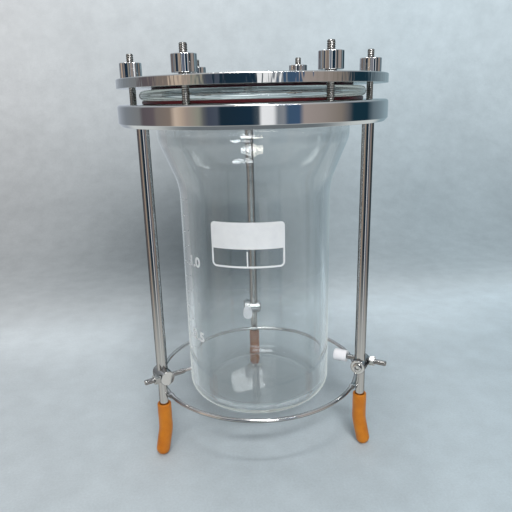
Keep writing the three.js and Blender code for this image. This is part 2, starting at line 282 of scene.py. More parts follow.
def newMaterial(name, values):
    material = bpy.data.materials.new(name)
    material.use_nodes = True
    tree = material.node_tree
    return material, tree, fill(tree, tree.nodes["Principled BSDF"], values)


def addBump(tree, shader, height, depth):
    bump = addNode(tree, "ShaderNodeBump", {"Height": height, "Strength": 1.0, "Distance": depth})
    fill(tree, shader, {"Normal": bump})


# Steel with tool marks. The roughness wanders from smooth to dull, ripple is in line depths, and
# edge says how much a glancing reflection brightens.
def makeSteel(name, colour, smooth, dull, linesPerMm, lineDepth, ripple, smearScale, edge):
    material, tree, shader = newMaterial(name, {"Base Color": (*colour, 1), "Metallic": 1.0,
                                                "Specular Tint": (edge, edge, edge, 1)})
    marks = addNode(tree, "ShaderNodeGroup", {
        "Lines per mm": linesPerMm, "Ripple": ripple, "Smooth": smooth, "Dull": dull,
        "Smear scale": smearScale}, node_tree=toolMarks)
    fill(tree, shader, {"Roughness": marks.outputs["Roughness"]})
    addBump(tree, shader, marks.outputs["Height"], lineDepth)
    return material


satinMarks = {"smooth": 0.05, "dull": 0.13, "linesPerMm": 4, "lineDepth": 0.0008 * mm, "ripple": 5,
              "smearScale": 70}
fineMarks = {"linesPerMm": 4, "lineDepth": 0.0004 * mm, "ripple": 2, "smearScale": 120}
steels = {
    "polished steel": {"colour": (0.66, 0.665, 0.67), "smooth": 0.02, "dull": 0.06, "linesPerMm": 5,
                       "lineDepth": 0.0005 * mm, "ripple": 12, "smearScale": 45, "edge": 1},
    "worn polished steel": {"colour": (0.66, 0.665, 0.66), "smooth": 0.04, "dull": 0.14, "linesPerMm": 5,
                            "lineDepth": 0.0006 * mm, "ripple": 420, "smearScale": 45, "edge": 1},
    "leg steel": {"colour": (0.5, 0.49, 0.48), **satinMarks, "edge": 0},
    "satin steel": {"colour": (0.62, 0.615, 0.61), **satinMarks, "edge": 0.1},
    "thread steel": {"colour": (0.62, 0.605, 0.58), "smooth": 0.1, "dull": 0.18, **fineMarks, "edge": 0},
    "pin steel": {"colour": (0.4, 0.4, 0.395), "smooth": 0.06, "dull": 0.12, **fineMarks, "edge": 1},
}
steel = {name: makeSteel(name, **finish) for name, finish in steels.items()}


# Moulded rubber and plastic, mottled from colour to shade. A glow stands in for light that
# reaches a piece through the glass.
def makeMoulded(name, colour, shade, rough, blotchScale, grainScale, grainDepth, glow=0):
    material, tree, shader = newMaterial(name, {"Roughness": rough})
    skin = addNode(tree, "ShaderNodeGroup", {
        "Colour": (*colour, 1), "Shade": (*shade, 1), "Blotch scale": blotchScale,
        "Grain scale": grainScale}, node_tree=mottle)
    fill(tree, shader, {"Base Color": skin.outputs["Colour"]})
    addBump(tree, shader, skin.outputs["Height"], grainDepth)
    if glow:
        fill(tree, shader, {"Emission Color": (0.9, 0.92, 0.96, 1), "Emission Strength": glow})
    return material


siliconeSkin = {"blotchScale": 60, "grainScale": 1200, "grainDepth": 0.01 * mm}
rubberSkin = {"blotchScale": 110, "grainScale": 1500, "grainDepth": 0.03 * mm}
whitePlastic = {"colour": (0.93, 0.93, 0.96), "shade": (0.87, 0.87, 0.91), "rough": 0.4,
                "blotchScale": 200, "grainScale": 2500, "grainDepth": 0.01 * mm}
mouldings = {
    "red silicone": {"colour": (0.13, 0.012, 0.02), "shade": (0.2, 0.016, 0.024), "rough": 0.38,
                     **siliconeSkin},
    "dark silicone": {"colour": (0.06, 0.004, 0.02), "shade": (0.09, 0.006, 0.024), "rough": 0.4,
                      **siliconeSkin},
    "orange rubber": {"colour": (0.65, 0.215, 0.004), "shade": (0.53, 0.15, 0.002), "rough": 0.42,
                      **rubberSkin},
    # A darker copy of the orange rubber for the back sleeve: painted shade, as it stands behind the
    # glass.
    "orange rubber in painted shade": {"colour": (0.46, 0.15, 0.03), "shade": (0.36, 0.11, 0.025), "rough": 0.5,
                           **rubberSkin},
    "white plastic": whitePlastic,
    "white plastic by the glass": {**whitePlastic, "glow": 0.3},
    "white enamel": {"colour": (0.86, 0.87, 0.88), "shade": (0.8, 0.81, 0.83), "rough": 0.45,
                     "blotchScale": 140, "grainScale": 3000, "grainDepth": 0.004 * mm},
}
moulding = {name: makeMoulded(name, **finish) for name, finish in mouldings.items()}

glassLook = {
    "tint": (0.9, 0.918, 0.919, 1), "index": 1.474,
    "rippleStretch": (38, 38, 9), "rippleDepth": 0.25 * mm,
    "lipFrom": 255 * mm, "lipTo": 263 * mm,  # heights between which the wall becomes the pressed lip
    # Painted reflection on the lip: how its streaks are stretched, and their ramp from dark to pale.
    "streakStretch": (16, 16, 420), "paintedStreaks": [(0.38, (0.3, 0.35, 0.36, 1)), (0.5, (0.78, 0.84, 0.83, 1))],
    "mirrored": 3.5,  # reflections inside the wall, past which the glow stands in
    "mirroredGlow": (0.2, 0.225, 0.22), "glowAtLip": 0.3, "shadow": 0.64,
}


# Clear blown glass: a trace of green, and a slight ripple running round the wall.
def makeGlass():
    g = glassLook
    material, tree, shader = newMaterial("clear glass", {
        "Base Color": g["tint"], "Roughness": 0.0, "IOR": g["index"], "Transmission Weight": 1.0,
        "Metallic": 0.0})
    place = objectPlace(tree)
    stretch = addNode(tree, "ShaderNodeMapping", {"Vector": place, "Scale": g["rippleStretch"]})
    addBump(tree, shader, addNoise(tree, stretch, 1.0, 1.0, 0.4), g["rippleDepth"])
    height = addNode(tree, "ShaderNodeSeparateXYZ", {0: place}).outputs[2]
    lip = ranged(tree, height, g["lipFrom"], g["lipTo"])
    # The pressed lip is painted greyer and carries long streaks of painted reflection, dark and pale.
    paintedStreaks = addNode(tree, "ShaderNodeMapping", {"Vector": place, "Scale": g["streakStretch"]})
    tone = addNode(tree, "ShaderNodeValToRGB", {0: addNoise(tree, paintedStreaks, 1.0, 2.0, 0.5)})
    for element, (position, colour) in zip(tone.color_ramp.elements, g["paintedStreaks"]):
        element.position, element.color = position, colour
    fill(tree, shader, {"Base Color": blended(tree, lip, g["tint"], tone)})
    # Light that has been mirrored inside the wall four times is stood in for by a pale glow, not
    # by black. The lip glows less.
    path = addNode(tree, "ShaderNodeLightPath")
    deep = calc(tree, "GREATER_THAN", path.outputs["Glossy Depth"], g["mirrored"])
    dim = ranged(tree, lip, 0.0, 1.0, 1.0, g["glowAtLip"])
    glow = scaled(tree, g["mirroredGlow"], calc(tree, "MULTIPLY", deep, dim))
    fill(tree, shader, {"Emission Color": glow, "Emission Strength": 1.0})
    material.cycles.emission_sampling = "NONE"
    # Each face lets most of the lamps' light through, so the vessel casts a faint shadow.
    veil = calc(tree, "MULTIPLY_ADD", path.outputs["Is Shadow Ray"], -g["shadow"], 1.0)
    fill(tree, shader, {"Alpha": veil})
    return material


clearGlass = makeGlass()
print("finishes made")


glassLow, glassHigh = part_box("glass_vessel")
vessel = {
    "radius": 57 * mm, "wall": 5 * mm, "cornerOuter": 12.5 * mm, "cornerInner": 8 * mm,
    "neck": 70.4 * mm, "flareLow": 203.2 * mm, "flareHigh": 236.7 * mm,
    "bendLow": 48 * mm, "bendHigh": 17 * mm,  # radii of the two bends of the flare
    "flangeThick": 7 * mm, "filletUnder": 2.4 * mm, "lipRound": 2 * mm,
    "edgeRound": 0.98,  # share of half the flange's thickness
    # The low ring in the inner floor: each corner's radius, height over the floor and rounding.
    "floorRing": [(43.6 * mm, 0, 0.6 * mm), (42 * mm, 0.7 * mm, 2 * mm), (39 * mm, 0.15 * mm, 2 * mm)],
}


# The glass section from the bottom's centre up the outside, over the flange and down the inside.
# Each corner is an arc, and the cone's inner side is lifted so that the wall keeps its thickness.
def vesselOutline():
    v = vessel
    low, high = v["flareLow"], v["flareHigh"]
    inner, neckInner = v["radius"] - v["wall"], v["neck"] - v["wall"]
    slant = (v["neck"] - v["radius"]) / (high - low)
    lift = v["wall"] * (np.sqrt(1 + slant * slant) - 1) / slant
    top, edge = glassHigh.z, glassHigh.x
    under, full = top - v["flangeThick"], v["edgeRound"] * v["flangeThick"] / 2
    floor = glassLow.z + v["wall"]
    corners = [
        (0, glassLow.z, 0), (v["radius"], glassLow.z, v["cornerOuter"]),
        (v["radius"], low, v["bendLow"]), (v["neck"], high, v["bendHigh"]),
        (v["neck"], under, v["filletUnder"]), (edge, under, full), (edge, top, full),
        (neckInner, top, v["lipRound"]), (neckInner, high + lift, v["bendHigh"] + v["wall"]),
        (inner, low + lift, v["bendLow"] - v["wall"]), (inner, floor, v["cornerInner"]),
    ]
    corners += [(r, floor + rise, rounding) for r, rise, rounding in v["floorRing"]] + [(0, floor, 0)]
    corners = np.array(corners)
    outline = rounded(corners[:, :2], corners[:, 2], steps=14, loop=False, spare=0)
    return divided(outline, 3 * mm)


glass = addPiece("vessel_glass", turned(vesselOutline(), 256), clearGlass, "stand", "glass",
                 ["glass_vessel"], sharpDeg=60)
glass.visible_diffuse = False  # no bright pools of bent light on the bench
print("glass vessel made")


seals = {"gasketInner": 73.8 * mm, "sealInner": 67 * mm, "squeezed": 0.22 * mm, "rounding": 0.3}


# A flat ring with softly swollen edges, squeezed flat against the glass and the steel. Rounding is
# a share of its thickness.
def makeSeal(name, node, inner, rubber):
    low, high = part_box(node)
    under, over = low.z - seals["squeezed"], high.z + seals["squeezed"]
    corners = [(inner, under), (high.x, under), (high.x, over), (inner, over)]
    ring = turned(rounded(corners, (over - under) * seals["rounding"], 5), 192)
    addPiece(name, ring, rubber, "stand", "seal_rubber", [node], loop=True)


makeSeal("gasket_under_flange", "flange_gasket", seals["gasketInner"], moulding["red silicone"])
makeSeal("seal_over_flange", "head_seal", seals["sealInner"], moulding["dark silicone"])


rings = {"supportInner": 73.2 * mm, "bevelIn": 2.2 * mm, "bevelUp": 2.4 * mm, "bevelRound": 0.8 * mm,
         "supportShoulder": 1.9 * mm, "clampInner": 66 * mm, "clampUnder": 0.2 * mm,
         "clampShoulder": 0.9 * mm, "edge": 0.5 * mm}
ringLow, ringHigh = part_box("support_ring")
supportOutline = rounded([
    (rings["supportInner"], ringLow.z), (ringHigh.x - rings["bevelIn"], ringLow.z),
    (ringHigh.x, ringLow.z + rings["bevelUp"]), (ringHigh.x, ringHigh.z),
    (rings["supportInner"], ringHigh.z)],
    [rings["edge"], rings["bevelRound"], rings["bevelRound"], rings["supportShoulder"], rings["edge"]])
addPiece("ring_support", turned(supportOutline, 288), steel["polished steel"], "stand",
         "polished_steel", ["support_ring"], loop=True)
clampLow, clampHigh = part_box("clamp_ring")
clampOutline = rounded([
    (rings["clampInner"], clampLow.z), (clampHigh.x, clampLow.z), (clampHigh.x, clampHigh.z),
    (rings["clampInner"], clampHigh.z)],
    [rings["edge"], rings["clampUnder"], rings["clampShoulder"], rings["edge"]])
addPiece("ring_clamp", turned(clampOutline, 288), steel["worn polished steel"], "stand",
         "polished_steel", ["clamp_ring"], loop=True)
print("seals and rings made")


fastener = {
    "circle": 86.4 * mm, "stud": 2.5 * mm, "threadDepth": 0.32 * mm, "pitch": 1.3 * mm,
    "grooveShade": 0.2, "crestShade": 0.85,  # painted shade: how much of the steel's colour is left in the grooves and on the crests
    "nutRadius": 7.8 * mm, "flutes": 12, "fluteDepth": 0.5 * mm, "collar": 3.7 * mm,
    "fluteStart": 0.72, "fluteFade": 0.2, "fluteSharp": 0.8,  # the first two as shares of nutRadius
    "collarTop": 0.6 * mm, "bore": 2.62 * mm, "bevel": 0.6 * mm,
    "turnEach": 47,  # degrees that each nut stands round from the last
}


# Paints shade into each turn of an upright thread as a dark line: the tone follows a sine of the height.
def paintGrooveShade(material, colour):
    f, tree = fastener, material.node_tree
    place = objectPlace(tree)
    turns = addNode(tree, "ShaderNodeTexWave", {
        "Vector": place, "Scale": 2 * np.pi / (20 * f["pitch"])}, bands_direction="Z")
    tone = ranged(tree, turns.outputs["Fac"], 0.0, 1.0, f["grooveShade"], f["crestShade"])
    fill(tree, tree.nodes["Principled BSDF"], {"Base Color": scaled(tree, colour, tone)})


# A turned nut: the outline goes round bore, collar and body, and each flute is a round hollow cut
# into the body only: depth times a power of half plus half the cosine of the waves round the nut.
def nutPoints(low, high):
    f = fastener
    shoulder = low + f["collarTop"]
    outline = rounded([
        (f["bore"], low), (f["collar"], low), (f["collar"], shoulder), (f["nutRadius"], shoulder),
        (f["nutRadius"], high), (f["bore"], high)],
        [0.1 * mm, 0.2 * mm, 0.15 * mm, f["bevel"], f["bevel"], 0.3 * mm], 4)
    t = fullTurn(16 * f["flutes"])
    hollow = (0.5 + 0.5 * np.cos(f["flutes"] * t)) ** f["fluteSharp"]
    r, z = outline[:, :1], outline[:, 1:]
    inBody = np.clip((r - f["fluteStart"] * f["nutRadius"]) / (f["fluteFade"] * f["nutRadius"]), 0, 1)
    r = r - f["fluteDepth"] * hollow * inBody
    return around(r, t, z)


paintGrooveShade(steel["thread steel"], steels["thread steel"]["colour"])
for i in range(6):
    centre = fastener["circle"] * unit(60 * i)
    low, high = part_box(f"stud_{i + 1}")
    turn = fastener["turnEach"] * i
    axes = [unit(turn), unit(turn + 90), (0, 0, 1)]
    thread = threaded(fastener["stud"], fastener["threadDepth"], fastener["pitch"], low.z, high.z)
    addPiece(f"threaded_stud_{i + 1}", placed(thread, centre, axes), steel["thread steel"], "stand",
             "satin_steel", [f"stud_{i + 1}"], sharpDeg=50)
    low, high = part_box(f"nut_{i + 1}")
    body = "nut_" + "abcdef"[i]
    addPiece(f"fluted_nut_{i + 1}", placed(nutPoints(low.z, high.z), centre, axes),
             steel["polished steel"], body, "polished_steel", [f"nut_{i + 1}"], loop=True)
print("studs and nuts made")


leg = {"circle": 86.4 * mm, "footCircle": 87.1 * mm, "radius": 4 * mm, "lower": 3.3 * mm,
       "step": 68.4 * mm, "bendTop": 25 * mm, "bendRadius": 30 * mm, "bendDeg": 12, "edge": 0.3 * mm,
       "gap": 0.3 * mm}
sleeve = {"radius": 5.25 * mm, "bore": 3.38 * mm, "top": 43.4 * mm, "boreEnd": 3.2 * mm,
          "flattened": 0.35 * mm, "swell": 0.12 * mm,
          # The back sleeve takes the darker copy of the rubber, painted shade.
          "rubber": {"right": "orange rubber", "back": "orange rubber in painted shade", "left": "orange rubber"}}


# The leg's centre line by its length s below the bend's start: straight down, then an arc that
# leans outwards, then straight again. Below the step the rod is thinner and flush outside, so its
# line lies further out. Gives the distance out, the height and the lean angle.
def legLine(s):
    bend, turnBy = leg["bendRadius"], radians(leg["bendDeg"])
    lean = np.clip(s / bend, 0, turnBy)
    rest = np.maximum(s - bend * turnBy, 0)
    upper = s < leg["bendTop"] - leg["step"]
    out = np.where(upper, leg["circle"], leg["footCircle"])
    out = out + bend * (1 - np.cos(lean)) + rest * np.sin(turnBy)
    height = leg["bendTop"] - np.minimum(s, 0) - bend * np.sin(lean) - rest * np.cos(turnBy)
    return out, height, lean


# A round section carried along the leg's line: centre + r (cos a x outward normal + sin a x round).
def alongLeg(s, r, turn, segments=40):
    out, height, lean = (q[:, None, None] for q in legLine(s))
    a = fullTurn(segments)[None, :, None]
    outward, roundabout, up = unit(turn), unit(turn + 90), np.array([0, 0, 1.0])
    normal = np.cos(lean) * outward + np.sin(lean) * up
    ring = np.cos(a) * normal + np.sin(a) * roundabout
    return out * outward + height * up + r[:, None, None] * ring


# The length s at which the leg's line reaches a height below the bend.
def lengthAt(height):
    turnBy = radians(leg["bendDeg"])
    arcEnd = leg["bendTop"] - leg["bendRadius"] * np.sin(turnBy)
    return leg["bendRadius"] * turnBy + (arcEnd - height) / np.cos(turnBy)


# The rod from its top to its end in the sleeve: full radius down to the step, then the thinner one.
def legPoints(turn, top):
    shoulder, edge = leg["bendTop"] - leg["step"], leg["edge"]
    first, end = leg["bendTop"] - top, lengthAt(sleeve["boreEnd"] + leg["gap"])
    upper = np.linspace(first + 1 * mm, shoulder - edge, 24)
    lower = np.linspace(shoulder + 0.2 * mm, end - edge, 36)
    s = np.concatenate([[first, first, first + edge], upper, [shoulder, shoulder], lower, [end, end]])
    r = np.where(s < shoulder, leg["radius"], leg["lower"])
    r[[0, -1]] = 0
    r[1], r[-2] = leg["radius"] - edge, leg["lower"] - edge
    return alongLeg(s, r, turn)


# The sleeve from the bottom of its bore up to the rim, over it and down to the rounded end,
# where the radius follows a quarter circle, and the floor flattens it a little.
def sleevePoints(turn):
    outer, bore = sleeve["radius"], sleeve["bore"]
    rim = leg["bendTop"] - sleeve["top"]
    inside, ballCentre = lengthAt(sleeve["boreEnd"]), lengthAt(outer - sleeve["flattened"])
    q = np.linspace(0, np.pi / 2, 12)
    lipHalf = (outer - bore) / 2
    lip = np.linspace(0, np.pi, 10)
    bored = np.linspace(inside, rim + lipHalf, 20)
    straight = np.linspace(rim + lipHalf + 0.3 * mm, ballCentre - 0.3 * mm, 34)
    s = np.concatenate([[inside], bored, rim + lipHalf * (1 - np.sin(lip)), straight,
                        ballCentre + outer * np.sin(q)])
    r = np.concatenate([[0], np.full(20, bore), bore + lipHalf * (1 - np.cos(lip)),
                        np.full(34, outer), outer * np.cos(q)])
    # Hand-dipped rubber isn't quite even: two slow waves along the leg, outside only.
    swell = sleeve["swell"] * np.sin(s * 240) * np.sin(s * 95 + 1)
    r = np.where(r > bore * 1.3, np.minimum(r + swell * (r / outer) ** 2, outer), r)
    r[-1] = 0
    points = alongLeg(s, r, turn)
    points[..., 2] = np.maximum(points[..., 2], 0)
    return points


sides = {"right": -30, "back": 90, "left": 210}  # turn of each leg about Z, from +X
legTop = ringLow.z + 1 * mm
for side, turn in sides.items():
    addPiece(f"rod_{side}", legPoints(turn, legTop), steel["leg steel"], "stand", "satin_steel",
             [f"leg_{side}"])
    addPiece(f"sleeve_{side}", sleevePoints(turn), moulding[sleeve["rubber"][side]], "stand",
             "foot_rubber", [f"foot_sleeve_{side}"])


baseWire = {"circle": 80.5 * mm, "wire": 1.5 * mm, "height": 47.2 * mm, "beadOut": 1.5 * mm,
            "beadUp": 0.5 * mm, "beadWide": 2.2 * mm}


# A wire bent to a circle: a torus whose section swells outwards to each leg, where it is welded.
# The swelling is a bell curve of the distance round from the leg.
def baseRingPoints():
    b = baseWire
    t = fullTurn(540)[None, :]
    a = fullTurn(20)[:, None]
    fromLegs = [(t - radians(turn) + np.pi) % (2 * np.pi) - np.pi for turn in sides.values()]
    away = sum(np.exp(-(angle * b["circle"] / b["beadWide"]) ** 2) for angle in fromLegs)
    r = b["circle"] + np.cos(a) * b["wire"] + b["beadOut"] * away * np.clip(np.cos(a), -0.2, 1)
    z = b["height"] + np.sin(a) * (b["wire"] + b["beadUp"] * away)
    return around(r, t, z)


addPiece("wire_base_ring", baseRingPoints(), steel["satin steel"], "stand", "satin_steel",
         ["base_ring"], loop=True)
print("legs, sleeves and base ring made")


# A clamp's distances run round the stand from the leg's centre, a pin's and a tip's outwards from
# the stand's axis.
clamp = {"height": 67.7 * mm, "radius": 5.5 * mm, "near": -6.3 * mm, "far": 9.7 * mm, "edge": 0.45 * mm,
         "screw": 3.4 * mm, "screwHead": -7.6 * mm, "screwInner": -4.6 * mm,
         "socket": 3.2 * mm, "socketDepth": 1.6 * mm}
pin = {"height": 68.6 * mm, "side": 6.9 * mm, "radius": 2 * mm, "depth": 0.06 * mm, "pitch": 0.9 * mm,
       "spigot": 1.4 * mm, "spigotRound": 0.3 * mm, "shoulder": 71.5 * mm, "inner": 66.3 * mm,
       "outer": {"right": 105 * mm, "back": 100.2 * mm, "left": 103.4 * mm},
       "nutFlats": 7 * mm, "nutStart": 92.2 * mm, "nutThick": 4 * mm, "nutBore": 2.1 * mm}
tip = {"inner": 64 * mm, "outer": 74.3 * mm, "innerRadius": 4.65 * mm, "outerRadius": 4.45 * mm,
       "round": 0.9 * mm, "bore": 2.2 * mm, "boreDepth": 2 * mm,
       "plastic": {"right": "white plastic", "back": "white plastic by the glass"}}


# A turned outline of (radius, distance) points whose first and last lie on the axis.
def turnedBar(corners, radii, segments=64, steps=5):
    return turned(rounded(corners, radii, steps, loop=False), segments)


# How far a hexagon's side stands from its centre at an angle, for a width across flats.
def hexReach(flats, t):
    return flats / 2 / np.cos((t + np.pi / 6) % (np.pi / 3) - np.pi / 6)


# A socket screw's end: a round head whose middle sinks into a hexagonal socket. Each corner is a
# radius, a height, and 1 where the radius follows the hexagon.
def screwPoints():
    radius, head, socket = clamp["screw"], clamp["screwHead"], clamp["socket"] / 2
    bottom = head + clamp["socketDepth"]
    t = fullTurn(96)
    outline = [(0, clamp["screwInner"], 0), (radius, clamp["screwInner"], 0),
               (radius, head + 0.4 * mm, 0), (radius - 0.12 * mm, head + 0.12 * mm, 0),
               (radius - 0.4 * mm, head, 0),
               (socket + 0.25 * mm, head, 1), (socket, head + 0.2 * mm, 1), (socket, bottom, 1),
               (0, bottom + 0.5 * mm, 0)]
    r, z, hexed = (np.array(q)[:, None] for q in zip(*outline))
    r = np.where(hexed > 0, hexReach(2 * r, t), r + 0 * t)
    return around(r, t, z)


# A hexagonal nut about Z: the hexagon's reach, cut down near both faces by a cone, and a bore.
def hexNutPoints(flats, low, high, bore):
    t = fullTurn(144)
    z = np.array([low, low, *np.linspace(low + 0.05 * mm, high - 0.05 * mm, 14), high, high])[:, None]
    cone = flats / 2 + 0.05 * mm + 1.5 * np.minimum(z - low, high - z)
    r = np.minimum(hexReach(flats, t), cone)
    r[[0, -1]] = bore
    return around(r, t, z)


for side, turn in sides.items():
    outward, roundabout, up = unit(turn), unit(turn + 90), np.array([0, 0, 1.0])
    legPoint = leg["circle"] * outward + clamp["height"] * up
    radius, near, far, edge = (clamp[k] for k in ("radius", "near", "far", "edge"))
    barrel = turnedBar([(0, near), (radius, near), (radius, far), (0, far)], [0, edge, edge, 0])
    acrossAxes = [up, outward, roundabout]  # a bar's own Z runs round the stand
    addPiece(f"cross_clamp_{side}", placed(barrel, legPoint, acrossAxes), steel["satin steel"],
             f"clamp_{side}", "satin_steel", [f"clamp_body_{side}"])
    addPiece(f"socket_screw_{side}", placed(screwPoints(), legPoint, acrossAxes), steel["satin steel"],
             f"clamp_{side}", "satin_steel", [f"clamp_screw_{side}"])
    pinOrigin = pin["side"] * roundabout + pin["height"] * up
    outAxes = [roundabout, up, outward]  # a pin's own Z points outwards
    start = pin["nutStart"]
    nut = hexNutPoints(pin["nutFlats"], start, start + pin["nutThick"], pin["nutBore"])
    addPiece(f"lock_nut_{side}", placed(nut, pinOrigin, outAxes), steel["pin steel"], f"clamp_{side}",
             "satin_steel", [f"pin_locknut_{side}"], loop=True, sharpDeg=25)
    thread = threaded(pin["radius"], pin["depth"], pin["pitch"], pin["shoulder"], pin["outer"][side], 20)
    addPiece(f"threaded_pin_{side}", placed(thread, pinOrigin, outAxes), steel["pin steel"],
             f"pin_{side}", "satin_steel", [f"stay_pin_{side}"], sharpDeg=50)
    start, root = pin["inner"], pin["shoulder"] + 0.4 * mm  # the spigot's root is inside the thread
    spigot = turnedBar([(0, start), (pin["spigot"], start), (pin["spigot"], root), (0, root)],
                       [0, pin["spigotRound"], 0, 0], 32, 3)
    addPiece(f"pin_spigot_{side}", placed(spigot, pinOrigin, outAxes), steel["satin steel"],
             f"pin_{side}", "satin_steel")
    if f"pin_tip_{side}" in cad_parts:
        start, end = tip["inner"], tip["outer"]
        seat = end - tip["boreDepth"]
        cap = turnedBar([(0, start), (tip["innerRadius"], start), (tip["outerRadius"], end),
                         (tip["bore"], end), (tip["bore"], seat), (0, seat)],
                        [0, tip["round"], 0.3 * mm, 0.2 * mm, 0, 0])
        addPiece(f"soft_tip_{side}", placed(cap, pinOrigin, outAxes), moulding[tip["plastic"][side]],
                 f"pin_{side}", "white_plastic", [f"pin_tip_{side}"])
print("clamps and pins made")


# Turns round the glass are in degrees from the front, to the right.
enamel = {
    "lift": 0.03 * mm, "thick": 0.06 * mm,
    "label": (-35.7, 17.5), "fieldLow": 165.6 * mm, "fieldHigh": 184.4 * mm, "frameLow": 152.8 * mm,
    "corner": 3 * mm, "sharpCorner": 0.02 * mm, "line": 1.35 * mm, "divider": 0.9 * mm,
    "overlap": 0.1 * mm, "dividerStart": 0.3 * mm, "dividerEnd": 1.6 * mm,
    "litre": 147.5 * mm, "halfLitre": 88.4 * mm, "tickFrom": -73, "majorTo": -64, "minorTo": -69,
    "tickThick": 0.7 * mm, "digitHigh": 8 * mm, "digitBolder": 0.035,
    "numbers": {"number_litre": ("1.0", -60.5, -48.4, "litre"),
                "number_half_litre": ("0.5", -63.7, -48.2, "halfLitre")},
}


# Wraps flat artwork onto the wall: x becomes an arc of the same length round the glass from the
# front (-Y), y becomes height, and z becomes distance out from the wall.
def wrapped(flat):
    radius = vessel["radius"] + enamel["lift"] + flat[..., 2]
    angle = flat[..., 0] / vessel["radius"]
    return np.stack([radius * np.sin(angle), -radius * np.cos(angle), flat[..., 1]], -1)


# A turn round the glass as a length along its wall.
def arcAt(degrees):
    return radians(degrees) * vessel["radius"]


# A filled shape with rounded corners on the flat: columns run round its edge and rows spread from
# the middle to the rim, so that the field bends with the wall. The same rows in reverse are its back.
def filledShape(corners, radii, rows=14):
    edge = rounded(corners, radii, 8, spare=0)
    edge = divided(np.concatenate([edge, edge[:1]]), 1.2 * mm)[:-1]
    middle = (edge.max(0) + edge.min(0)) / 2
    k = np.linspace(0, 1, rows)[:, None, None]
    front = middle + (edge - middle)[None] * k
    face = np.concatenate([front, np.full((rows, len(edge), 1), enamel["thick"])], -1)
    back = np.concatenate([front[::-1], np.zeros((rows, len(edge), 1))], -1)
    return np.concatenate([face, back])


# A line of even width along an outline on the flat: each point moves half the width along its normal.
def strokeShape(path, width):
    path = divided(np.array(path, float), 0.8 * mm)
    ahead = np.gradient(path, axis=0)
    normal = np.stack([-ahead[:, 1], ahead[:, 0]], -1) / np.linalg.norm(ahead, axis=1)[:, None]
    w = width / 2
    corner = [(w, 0), (w, enamel["thick"]), (-w, enamel["thick"]), (-w, 0)]
    lanes = [np.concatenate([path + normal * a, np.full((len(path), 1), b)], -1) for a, b in corner]
    ring = np.stack(lanes, 1)
    start, end = (np.repeat(row.mean(1, keepdims=True), 4, 1) for row in (ring[:1], ring[-1:]))
    return np.concatenate([start, ring, end])


# Printed marks belong to the stand and replace no CAD node.
def addEnamel(name, shape):
    addPiece(name, shape, moulding["white enamel"], "stand", "white_plastic")


left, right = (arcAt(d) for d in enamel["label"])
low, high, frameLow = enamel["fieldLow"], enamel["fieldHigh"], enamel["frameLow"]
field = filledShape([(left, low), (right, low), (right, high), (left, high)],
                    [enamel["sharpCorner"]] * 2 + [enamel["corner"]] * 2)
addEnamel("label_field", wrapped(field))
inset, tuckedUp = enamel["line"] / 2, low + enamel["overlap"]
frameLine = rounded([(left + inset, tuckedUp), (left + inset, frameLow), (right - inset, frameLow),
                     (right - inset, tuckedUp)], [0, enamel["corner"], enamel["corner"], 0], 8, False, 0)
addEnamel("label_frame", wrapped(strokeShape(frameLine, enamel["line"])))
middle = (left + right) / 2
divider = [(middle, frameLow + enamel["dividerStart"]), (middle, low - enamel["dividerEnd"])]
addEnamel("label_divider", wrapped(strokeShape(divider, enamel["divider"])))

# Graduations: a long line at each half litre and short ones at each tenth between and beyond.
tenth = (enamel["litre"] - enamel["halfLitre"]) / 5
for i in range(-3, 10):
    height = enamel["halfLitre"] + tenth * i
    to = enamel["majorTo"] if i in (0, 5) else enamel["minorTo"]
    line = strokeShape([(arcAt(enamel["tickFrom"]), height), (arcAt(to), height)], enamel["tickThick"])
    addEnamel(f"graduation_{i + 4}", wrapped(line))


# A number as flat outlines, wrapped onto the glass. It is stretched to run from startDeg to endDeg.
def addNumber(name, text, startDeg, endDeg, base):
    curve = bpy.data.curves.new(name, "FONT")
    curve.body, curve.extrude, curve.resolution_u = text, 0.5, 6
    curve.offset = enamel["digitBolder"]
    ghost = bpy.data.objects.new(name, curve)
    scene.collection.objects.link(ghost)
    bpy.context.view_layer.update()
    mesh = bpy.data.meshes.new_from_object(ghost.evaluated_get(bpy.context.evaluated_depsgraph_get()))
    bpy.data.objects.remove(ghost)
    co = np.zeros(len(mesh.vertices) * 3)
    mesh.vertices.foreach_get("co", co)
    co = co.reshape(-1, 3)
    size = np.ptp(co, axis=0)
    start, width = arcAt(startDeg), arcAt(endDeg) - arcAt(startDeg)
    flat = (co - co.min(0)) / size * [width, enamel["digitHigh"], enamel["thick"]] + [start, base, 0]
    mesh.vertices.foreach_set("co", wrapped(flat).ravel())
    mesh.update()
    mesh.materials.clear()
    addEnamel(name, mesh)


for name, (text, startDeg, endDeg, line) in enamel["numbers"].items():
    addNumber(name, text, startDeg, endDeg, enamel[line])
print("printed marks made")


# Tones are written as a screen shows them, 0 to 255, and made linear here.
def linear(tone):
    return ((np.asarray(tone, float) / 255 + 0.055) / 1.055) ** 2.4


studio = {
    "sheetFront": -1.6, "wallDistance": 0.75, "sweepRadius": 0.35, "wallTop": 2.2, "halfWidth": 2.2,
    "floorLight": 0.9,  # light on the bench, evened out in its colour
    "wallFrom": 1.80, "wallTo": 1.92,  # where the bench ends, measured along the sheet
    "litStripAlong": 1.80, "litStripWide": 0.13, "litStripTilt": -0.13,  # painted light where the bench ends: the strip runs downhill to the left
    # Painted shadows, soft dark patches: place across and along the sheet, half width, half height and
    # depth.
    "paintedShadows": [(-0.11, 2.11, 0.11, 0.14, 0.26), (-0.022, 2.1, 0.066, 0.16, 0.27),
                (-0.095, 1.87, 0.024, 0.1, 0.16)],
    "clouds": [(9, 0.04), (42, 0.05), (600, 0.05)],  # uneven paint: scale, and share of the tone
    "dimBehindGlass": 0.12, "skyLight": 0.12, "steelShine": 1.5, "beyondTone": (180, 188, 194),
}
